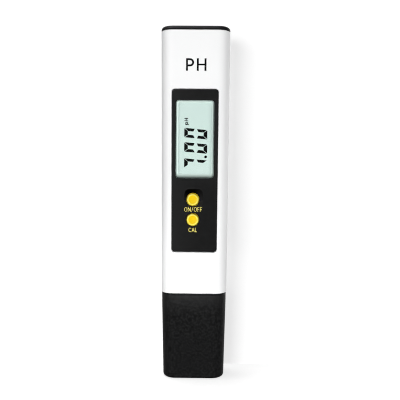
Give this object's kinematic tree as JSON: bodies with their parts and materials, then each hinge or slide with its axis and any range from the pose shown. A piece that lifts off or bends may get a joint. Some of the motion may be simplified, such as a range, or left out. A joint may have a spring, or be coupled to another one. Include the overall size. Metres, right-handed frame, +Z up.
{
  "type": "ph meter",
  "caption": "Pen-style pH meter: tapered white housing, black panel with display and push buttons, pull-off caps over the battery bay and the glass electrode.",
  "frame": {"origin": "centre of the underside of the protective cap, which the meter stands on", "axes": "+Z up along the pen, -Y out of the front face with the display, +X to the right facing the display"},
  "size_m": [0.0304, 0.017, 0.1555],
  "materials": {
    "housing_white": "white moulded ABS, satin",
    "panel_black": "black moulded panel, satin",
    "clear_window": "clear acrylic",
    "lcd_face": "pale green-grey liquid crystal cell",
    "lcd_back": "reflector film",
    "zebra_rubber": "conductive rubber strip",
    "frame_black": "black plastic",
    "frame_grey": "grey plastic",
    "circuit_board": "green solder mask",
    "chip_black": "moulded epoxy",
    "can_metal": "drawn metal can",
    "screw_steel": "zinc plated",
    "contact_nickel": "nickel plated spring strip",
    "cell_steel": "nickel plated can",
    "button_yellow": "yellow moulded, satin",
    "cap_black": "black moulded, satin",
    "seal_rubber": "black silicone",
    "glass_clear": "blown glass",
    "junction_white": "porous white",
    "silver": "silver wire",
    "probe_steel": "polished stainless",
    "lead_red": "insulated wire",
    "lead_black": "insulated wire",
    "sponge": "open cell foam"
  },
  "bodies": {
    "probe_cover": {"protective_cap": "cap_black", "storage_sponge": "sponge"},
    "body_shell": {"housing": "housing_white", "front_panel": "panel_black", "display_lens": "clear_window", "lcd_front_glass": "lcd_face", "lcd_rear_glass": "lcd_face", "lcd_reflector": "lcd_back", "zebra_strip_left": "zebra_rubber", "zebra_strip_right": "zebra_rubber", "lcd_frame": "frame_black", "main_board": "circuit_board", "controller_chip": "chip_black", "amplifier_chip": "chip_black", "timing_crystal": "can_metal", "filter_capacitor": "can_metal", "power_switch_base": "chip_black", "calibration_switch_base": "chip_black", "inner_frame": "frame_grey", "board_screw_1": "screw_steel", "board_screw_2": "screw_steel", "board_screw_3": "screw_steel", "board_screw_4": "screw_steel", "battery_holder": "frame_black", "battery_contact_positive": "contact_nickel", "battery_contact_negative": "contact_nickel", "button_cell_1": "cell_steel", "button_cell_2": "cell_steel", "button_cell_3": "cell_steel", "button_cell_4": "cell_steel", "electrode_collar": "cap_black", "collar_seal": "seal_rubber", "electrode_sleeve": "cap_black", "glass_electrode": "glass_clear", "junction_ring": "junction_white", "silver_wire": "silver", "temperature_probe": "probe_steel", "electrode_lead": "lead_red", "temperature_lead": "lead_black"},
    "power_key": {"power_button": "button_yellow", "power_switch_plunger": "screw_steel"},
    "calibration_key": {"calibration_button": "button_yellow", "calibration_switch_plunger": "screw_steel"},
    "battery_cover": {"battery_cap": "cap_black", "battery_cap_seal": "seal_rubber"}
  },
  "joints": [
    {"name": "power_button_press", "type": "slide", "parent": "body_shell", "child": "power_key", "axis": [0, 1, 0], "range_m": [0, 0.0005], "stiffness_N_per_m": 400},
    {"name": "calibration_button_press", "type": "slide", "parent": "body_shell", "child": "calibration_key", "axis": [0, 1, 0], "range_m": [0, 0.0005], "stiffness_N_per_m": 400},
    {"name": "battery_cap_pull", "type": "slide", "parent": "body_shell", "child": "battery_cover", "axis": [0, 0, 1], "range_m": [0, 0.015]},
    {"name": "protective_cap_pull", "type": "slide", "parent": "probe_cover", "child": "body_shell", "axis": [0, 0, 1], "range_m": [0, 0.045]}
  ]
}
